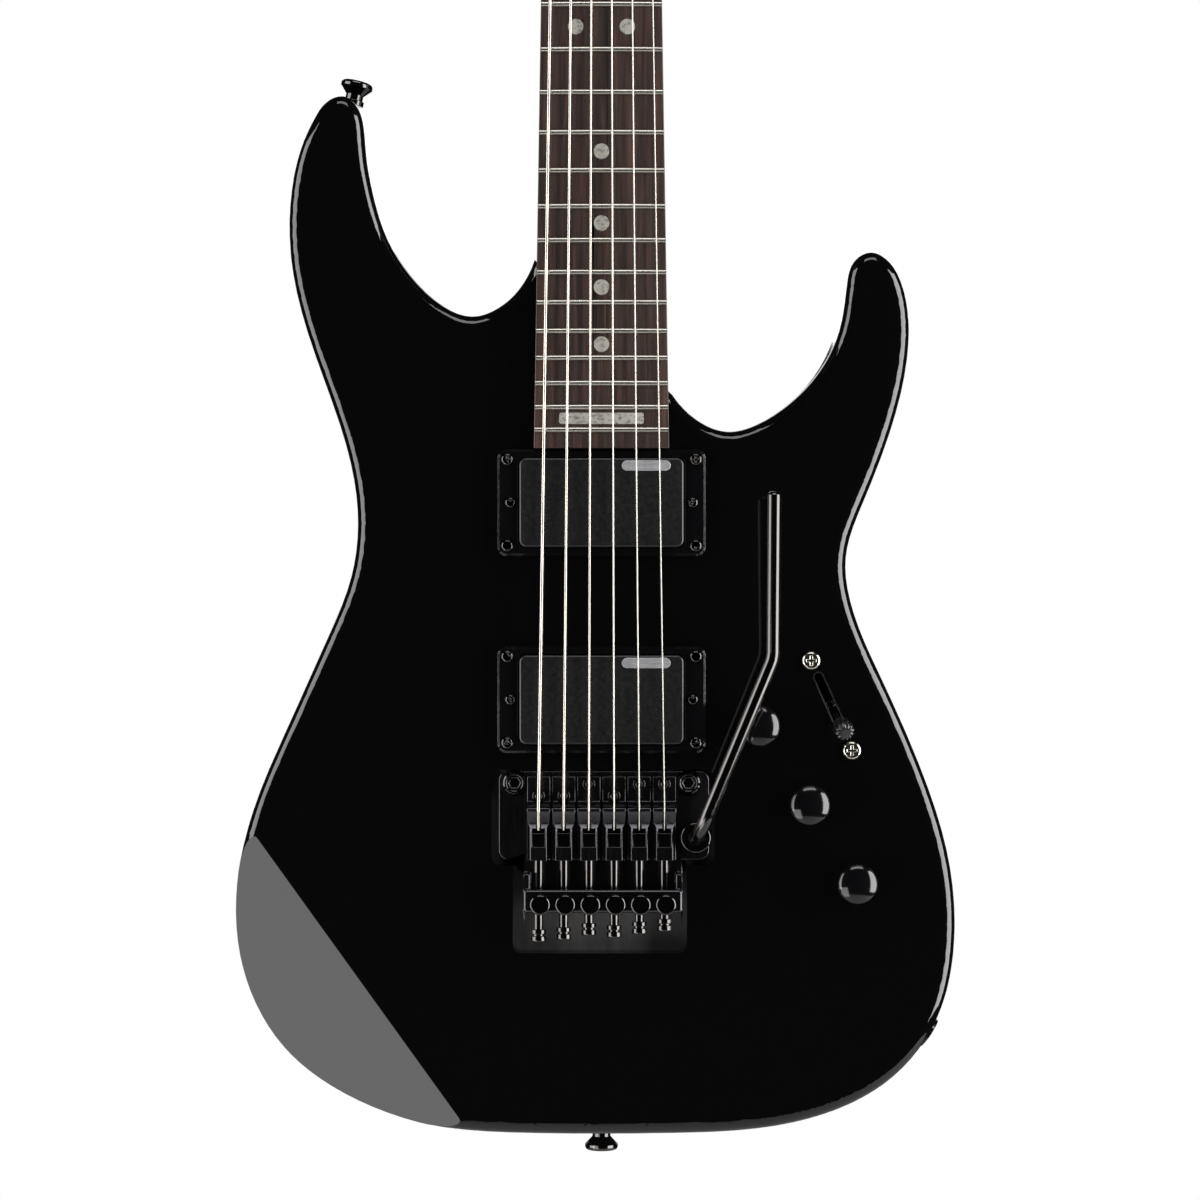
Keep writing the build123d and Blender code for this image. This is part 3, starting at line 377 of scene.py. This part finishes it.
def flat_directions(shape):
    """The directions that the shape's broad flat faces look in."""
    return [face.normal.copy() for face in shape.faces if face.calc_area() > BROAD_FACE]


def crease(edge, flats):
    """A sharp edge turns far, or turns a little beside a broad flat face, as at the forearm bevel."""
    if len(edge.link_faces) != 2:
        return True
    turn = edge.calc_face_angle(0.0)
    if turn < math.radians(SLIGHT_ANGLE):
        return False
    beside = any(face.normal.dot(flat) > 0.99999 for face in edge.link_faces for flat in flats)
    return beside or turn > math.radians(SMOOTH_ANGLE)


def finished_mesh(node, edge_round):
    """The node's shape with its sharp edges broken, as a polished part's are, and its curves smooth."""
    shape = joined_copy(node)
    for face in shape.faces:
        face.smooth = True
    flats = flat_directions(shape)
    for edge in shape.edges:
        edge.smooth = not crease(edge, flats)
    mesh = bpy.data.meshes.new(node + "_joined")
    shape.to_mesh(mesh)
    shape.free()
    holder = bpy.data.objects.new(node + "_joined", mesh)
    bpy.context.scene.collection.objects.link(holder)
    if edge_round:
        bevel = holder.modifiers.new("edges", "BEVEL")
        bevel.width = edge_round
        bevel.segments = 2
        bevel.limit_method = "ANGLE"
        bevel.angle_limit = math.radians(BEVEL_ANGLE)
        bevel.use_clamp_overlap = False
    normals = holder.modifiers.new("normals", "WEIGHTED_NORMAL")
    normals.keep_sharp = True
    graph = bpy.context.evaluated_depsgraph_get()
    made = bpy.data.meshes.new_from_object(holder.evaluated_get(graph), preserve_all_data_layers=True,
                                           depsgraph=graph)
    made.name = node + "_finished"
    bpy.data.objects.remove(holder)
    return made


def lathe(name, stations, place, sides, flutes, depth):
    """A turned shape: (height, radius, flute) stations along the place's Z, with flutes cut round it."""
    shape = bmesh.new()
    rings = []
    for height, radius, fluted in stations:
        ring = []
        for step in range(sides):
            turn = math.tau * step / sides
            reach = radius - fluted * depth * (0.5 + 0.5 * math.cos(flutes * turn))
            point = Vector((reach * math.cos(turn), reach * math.sin(turn), height))
            ring.append(shape.verts.new(place @ point))
        rings.append(ring)
    for low, high in zip(rings, rings[1:]):
        for step in range(sides):
            shape.faces.new((low[step - 1], low[step], high[step], high[step - 1]))
    for ring in (rings[0], rings[-1]):
        shape.faces.new(ring)
    bmesh.ops.recalc_face_normals(shape, faces=shape.faces)
    mesh = bpy.data.meshes.new(name)
    shape.to_mesh(mesh)
    shape.free()
    for polygon in mesh.polygons:
        polygon.use_smooth = True
    return mesh


def stadium(length, width, steps=10):
    """The points of a flat pill, in order, along X."""
    half, radius = (length - width) / 2, width / 2
    points = []
    for side, start in ((1, -90), (-1, 90)):
        for step in range(steps + 1):
            turn = math.radians(start + 180 * step / steps)
            points.append((side * half + radius * math.cos(turn), radius * math.sin(turn)))
    return points


def pill_mesh(name, outlines, place, closed):
    """A flat pill or a pill-shaped ring: outlines in millimetres (length, width, height), joined in order."""
    shape = bmesh.new()
    rings = [[shape.verts.new(place @ Vector((x, y, height * MM)))
              for x, y in stadium(length * MM, width * MM)]
             for length, width, height in outlines]
    count = len(rings[0])
    pairs = list(zip(rings, rings[1:])) + ([] if closed else [(rings[-1], rings[0])])
    for low, high in pairs:
        for step in range(count):
            shape.faces.new((low[step - 1], low[step], high[step], high[step - 1]))
    if closed:
        for ring in (rings[0], rings[-1]):
            shape.faces.new(ring)
    bmesh.ops.recalc_face_normals(shape, faces=shape.faces)
    mesh = bpy.data.meshes.new(name)
    shape.to_mesh(mesh)
    shape.free()
    return mesh


def tree_mesh(name, tree, **inputs):
    """Run a Geometry Nodes tree on an empty mesh and return the plain mesh that it makes."""
    carrier = bpy.data.objects.new(name, bpy.data.meshes.new(name))
    bpy.context.scene.collection.objects.link(carrier)
    modifier = carrier.modifiers.new("build", "NODES")
    modifier.node_group = tree
    for item in tree.interface.items_tree:
        if item.item_type == "SOCKET" and item.in_out == "INPUT" and item.name in inputs:
            modifier[item.identifier] = inputs[item.name]
    graph = bpy.context.evaluated_depsgraph_get()
    mesh = bpy.data.meshes.new_from_object(carrier.evaluated_get(graph))
    mesh.name = name
    bpy.data.objects.remove(carrier)
    return mesh


def new_geometry_tree(name, sockets):
    tree = bpy.data.node_groups.new(name, "GeometryNodeTree")
    for label, kind in sockets:
        tree.interface.new_socket(label, in_out="INPUT", socket_type=kind)
    tree.interface.new_socket("Geometry", in_out="OUTPUT", socket_type="NodeSocketGeometry")
    return tree, tree.nodes.new("NodeGroupInput"), tree.nodes.new("NodeGroupOutput")


def finish_tree(tree, geometry, material, group_out):
    real = add_node(tree, "GeometryNodeRealizeInstances", links={"Geometry": geometry})
    smooth = add_node(tree, "GeometryNodeSetShadeSmooth", links={"Geometry": real.outputs[0]})
    dressed = add_node(tree, "GeometryNodeSetMaterial", links={"Geometry": smooth.outputs[0],
                                                              "Material": material})
    tree.links.new(dressed.outputs[0], group_out.inputs[0])


def spring_tree():
    """A coil spring standing on Z: a spiral swept with a round wire, closed at its ends."""
    tree, given, group_out = new_geometry_tree("coil_spring", [
        ("Turns", "NodeSocketFloat"), ("Coil radius", "NodeSocketFloat"), ("Height", "NodeSocketFloat"),
        ("Wire radius", "NodeSocketFloat"), ("Base", "NodeSocketVector"),
        ("Wire finish", "NodeSocketMaterial")])
    spiral = add_node(tree, "GeometryNodeCurveSpiral", {"Resolution": 18}, {
        "Rotations": given.outputs["Turns"], "Start Radius": given.outputs["Coil radius"],
        "End Radius": given.outputs["Coil radius"], "Height": given.outputs["Height"]})
    section = add_node(tree, "GeometryNodeCurvePrimitiveCircle", {"Resolution": 8},
                       {"Radius": given.outputs["Wire radius"]})
    coil = add_node(tree, "GeometryNodeCurveToMesh", {"Fill Caps": True},
                    {"Curve": spiral.outputs[0], "Profile Curve": section.outputs[0]})
    placed = add_node(tree, "GeometryNodeTransform", links={"Geometry": coil.outputs[0],
                                                            "Translation": given.outputs["Base"]})
    finish_tree(tree, placed.outputs[0], given.outputs["Wire finish"], group_out)
    return tree


def islands(shape):
    """The separate solids of a mesh, each as a set of its vertices."""
    left, found = set(shape.verts), []
    while left:
        wave = [left.pop()]
        member = set(wave)
        while wave:
            for edge in wave.pop().link_edges:
                for vert in edge.verts:
                    if vert in left:
                        left.remove(vert)
                        member.add(vert)
                        wave.append(vert)
        found.append(member)
    return found


# ---- Operators ----------------------------------------------------------------------------------------
class GUITAR_OT_materials(bpy.types.Operator):
    """Make the guitar's materials"""
    bl_idname = "guitar.materials"
    bl_label = "Make materials"

    def execute(self, context):
        MATERIALS.update(make_materials(settings(context, "finish")))
        return {"FINISHED"}


class GUITAR_OT_surfaces(bpy.types.Operator):
    """Give every mechanical part its finish, with its curved faces shaded smooth"""
    bl_idname = "guitar.surfaces"
    bl_label = "Finish the parts"

    def execute(self, context):
        for node, body in BODY_OF.items():
            if node in OWN_OPERATOR:
                continue
            if node in SPRAYED:
                mesh = NODES[node].data.copy()
                mesh.materials.clear()
            else:
                mesh = finished_mesh(node, EDGE_ROUND.get(node, EDGE_ROUND_USUAL) * MM)
            materials = [finish_of(node)]
            if node == "body":
                self.paint_recesses(mesh)
                materials.append(MATERIALS["paint"])
            add_piece(node + "_finished", mesh, body, materials, [node])
        return {"FINISHED"}

    def paint_recesses(self, mesh):
        """The floors of the bridge's recess and of every cavity are painted, not polished."""
        face_y, back_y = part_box("body")[0].y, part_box("body")[1].y
        for polygon in mesh.polygons:
            y = polygon.center.y
            level = abs(polygon.normal.y) > 0.95
            if level and face_y + RECESS_DEPTH < y < back_y - COVER_DEPTH:
                polygon.material_index = 1


class GUITAR_OT_strings(bpy.types.Operator):
    """Finish the strings: the low three wound, the high three plain, with rings cut along the stretch that
    bends with the bridge
    """
    bl_idname = "guitar.strings"
    bl_label = "Finish the strings"

    def execute(self, context):
        stretch = settings(context, "strings").blend_length
        shape = bmesh.new()
        shape.from_mesh(NODES["strings"].data)
        bmesh.ops.remove_doubles(shape, verts=shape.verts, dist=WELD)
        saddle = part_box("saddles")
        start_z, end_z = saddle[1].z + stretch, saddle[1].z - PAST_SADDLE
        for step in range(STRING_STEPS + 1):
            z = start_z + (end_z - start_z) * step / STRING_STEPS
            whole = shape.verts[:] + shape.edges[:] + shape.faces[:]
            bmesh.ops.bisect_plane(shape, geom=whole, dist=1e-6, plane_co=(0, 0, z), plane_no=(0, 0, 1))
        strings = sorted(islands(shape), key=lambda verts: min(v.co.x for v in verts if v.co.z < start_z))
        for index, verts in enumerate(strings):
            for face in {face for vert in verts for face in vert.link_faces}:
                face.material_index = 0 if index < WOUND_STRINGS else 1
                face.smooth = True
        for edge in shape.edges:
            edge.smooth = edge.calc_face_angle(0.0) < math.radians(50)
        mesh = bpy.data.meshes.new("strings_finished")
        shape.to_mesh(mesh)
        shape.free()
        finishes = [MATERIALS["wound_string"], MATERIALS["plain_string"]]
        piece = add_piece("strings_finished", mesh, None, finishes, ["strings"])
        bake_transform(piece)
        return {"FINISHED"}


class GUITAR_OT_trim(bpy.types.Operator):
    """Make the pickup badges, the switch's fluted tip and the liner of its slot"""
    bl_idname = "guitar.trim"
    bl_label = "Make the trim"

    def execute(self, context):
        self.make_badges()
        self.make_switch()
        return {"FINISHED"}

    def make_badges(self):
        low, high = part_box("pickup_covers")
        for name, z in (("bridge", low.z + BADGE_ABOVE_LOW), ("neck", high.z - BADGE_BELOW_HIGH)):
            place = Matrix.Translation((BADGE_X, low.y, z)) @ Matrix.Rotation(math.radians(90), 4, "X")
            mesh = pill_mesh("badge_" + name, BADGE, place, True)
            add_piece("pickup_badge_" + name, mesh, "guitar", [MATERIALS["badge"]])

    def make_switch(self):
        joint = next(j for j in frame["record"]["behaviour"]["joints"] if j["name"] == "pickup_selector")
        pivot, axis = Vector(joint["pos_m"]), Vector(joint["axis"])
        lean = math.radians(joint["range_deg"][1] / 2)
        lever = Matrix.Rotation(-lean, 3, axis) @ Vector((0, -1, 0))
        place = Matrix.Translation(pivot) @ lever.to_track_quat("Z", "Y").to_matrix().to_4x4()
        stations = [(h * MM, r * MM, f) for h, r, f in SWITCH_TIP]
        mesh = lathe("switch_tip", stations, place, TIP_SIDES, TIP_FLUTES, FLUTE_DEPTH)
        add_piece("switch_tip_fluted", mesh, "switch", [MATERIALS["tip_abs"]], ["switch_tip"])
        along = Vector((0, -1, 0)).cross(axis).normalized()
        turned = Matrix((along, along.cross(Vector((0, 1, 0))), Vector((0, -1, 0)))).transposed().to_4x4()
        place = Matrix.Translation((pivot.x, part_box("body")[0].y, pivot.z)) @ turned
        mesh = pill_mesh("switch_slot_liner", SLOT_LINER, place, False)
        add_piece("switch_slot_liner", mesh, "guitar", [MATERIALS["nickel"]])


class GUITAR_OT_springs(bpy.types.Operator):
    """Wind the three tremolo springs"""
    bl_idname = "guitar.springs"
    bl_label = "Wind springs"

    def execute(self, context):
        chosen = settings(context, "springs")
        low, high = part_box("trem_springs")
        tree = spring_tree()
        outer = (high.y - low.y) / 2
        coil_radius = outer - chosen.wire / 2
        shape = bmesh.new()
        for x in (low.x + outer, 0.0, high.x - outer):
            mesh = tree_mesh("spring", tree, **{
                "Turns": float(chosen.turns), "Coil radius": coil_radius,
                "Height": high.z - low.z - chosen.wire, "Wire radius": chosen.wire / 2,
                "Base": (x, (low.y + high.y) / 2, low.z + chosen.wire / 2),
                "Wire finish": MATERIALS["steel"]})
            shape.from_mesh(mesh)
        mesh = bpy.data.meshes.new("trem_springs_wound")
        shape.to_mesh(mesh)
        shape.free()
        for polygon in mesh.polygons:
            polygon.use_smooth = True
        piece = add_piece("trem_springs_wound", mesh, None, [MATERIALS["steel"]], ["trem_springs"])
        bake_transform(piece)
        return {"FINISHED"}


class GUITAR_OT_stage(bpy.types.Operator):
    """Set the floor, the lights, the sky and the camera"""
    bl_idname = "guitar.stage"
    bl_label = "Set the stage"

    def execute(self, context):
        stage = settings(context, "stage")
        self.set_camera(context, stage)
        self.set_world(context)
        self.set_floor(context)
        self.set_lights(context)
        return {"FINISHED"}

    def set_camera(self, context, stage):
        camera = bpy.data.cameras.new("camera")
        camera.sensor_width = 36.0
        camera.lens = camera.sensor_width * stage.distance / stage.frame_width
        camera.clip_end = 50.0
        holder = bpy.data.objects.new("camera", camera)
        context.scene.collection.objects.link(holder)
        face_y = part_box("body")[0].y
        holder.location = (stage.centre[0], face_y - stage.distance, stage.centre[1])
        holder.rotation_euler = (math.radians(90), 0, 0)
        context.scene.camera = holder

    def set_world(self, context):
        """White behind the guitar, and a dim grey room for reflections and fill."""
        context.scene.view_settings.view_transform = "Standard"
        world = bpy.data.worlds.new("studio")
        world.use_nodes = True
        context.scene.world = world
        tree = world.node_tree
        tree.nodes.clear()
        seen = add_node(tree, "ShaderNodeLightPath")
        backdrop = add_node(tree, "ShaderNodeBackground", {"Color": (1, 1, 1, 1), "Strength": 1.0})
        room = add_node(tree, "ShaderNodeBackground", {"Color": (0.9, 0.95, 1, 1), "Strength": ROOM_LIGHT})
        mix = add_node(tree, "ShaderNodeMixShader", links={
            0: seen.outputs["Is Camera Ray"], 1: room.outputs[0], 2: backdrop.outputs[0]})
        add_node(tree, "ShaderNodeOutputWorld", links={"Surface": mix.outputs[0]})

    def set_floor(self, context):
        shape = bmesh.new()
        bmesh.ops.create_circle(shape, cap_ends=True, segments=96, radius=FLOOR_RADIUS)
        bmesh.ops.translate(shape, verts=shape.verts, vec=(0, 0.1, FLOOR_Z))
        mesh = bpy.data.meshes.new("floor")
        shape.to_mesh(mesh)
        shape.free()
        floor = bpy.data.objects.new("floor", mesh)
        context.scene.collection.objects.link(floor)
        material, _, shader = new_material("floor_matt_white", Roughness=0.8)
        shader.inputs["Base Color"].default_value = linear("#b8b8b8")
        mesh.materials.append(material)

    def set_lights(self, context):
        """Softboxes: name, place, point aimed at, width, height, radiance against white."""
        boxes = [
            ("left", (-1.41, -0.53, 0.35), (0, 0, 0.25), 1.05, 1.6, 5.5),
            ("right", (1.40, -0.56, 0.30), (0, 0, 0.25), 1.15, 1.8, 9.0),
            ("bevel", (-0.56, -0.565, -0.33), (-0.11, -0.02, 0.05), 0.62, 0.5, 3.3),
            ("top", (0.1, -1.0, 1.9), (0, 0, 0.4), 1.4, 0.8, 4.0),
            ("behind", (0.0, 1.8, 1.1), (0, 0, 0.4), 2.2, 1.2, 2.4),
        ]
        for name, place, aim, width, height, radiance in boxes:
            lamp = bpy.data.lights.new("softbox_" + name, "AREA")
            lamp.shape = "RECTANGLE"
            lamp.size = width
            lamp.size_y = height
            lamp.energy = radiance * width * height * math.pi
            holder = bpy.data.objects.new("softbox_" + name, lamp)
            context.scene.collection.objects.link(holder)
            holder.location = place
            towards = Vector(aim) - Vector(place)
            holder.rotation_euler = towards.to_track_quat("-Z", "Y").to_euler()
            holder.visible_camera = False


class GUITAR_PT_panel(bpy.types.Panel):
    """Every step of the guitar's finish, in order"""
    bl_label = "Guitar"
    bl_idname = "GUITAR_PT_panel"
    bl_space_type = "VIEW_3D"
    bl_region_type = "UI"
    bl_category = "Guitar"

    def draw(self, context):
        for step in STEPS:
            self.layout.operator(step.bl_idname)
        for name in SETTINGS:
            chosen = settings(context, name)
            for prop in chosen.bl_rna.properties:
                if not prop.is_readonly and prop.identifier != "name":
                    self.layout.prop(chosen, prop.identifier)


STEPS = [GUITAR_OT_materials, GUITAR_OT_surfaces, GUITAR_OT_strings, GUITAR_OT_springs, GUITAR_OT_trim,
         GUITAR_OT_stage]


def register():
    for name, kind in SETTINGS.items():
        bpy.utils.register_class(kind)
        setattr(bpy.types.Scene, "guitar_" + name, bpy.props.PointerProperty(type=kind))
    for kind in STEPS + [GUITAR_PT_panel]:
        bpy.utils.register_class(kind)


def unregister():
    for kind in reversed(STEPS + [GUITAR_PT_panel]):
        bpy.utils.unregister_class(kind)
    for name, kind in SETTINGS.items():
        delattr(bpy.types.Scene, "guitar_" + name)
        bpy.utils.unregister_class(kind)


def main():
    register()
    for step in STEPS:
        group, name = step.bl_idname.split(".")
        getattr(getattr(bpy.ops, group), name)()


if __name__ == "__main__":
    main()
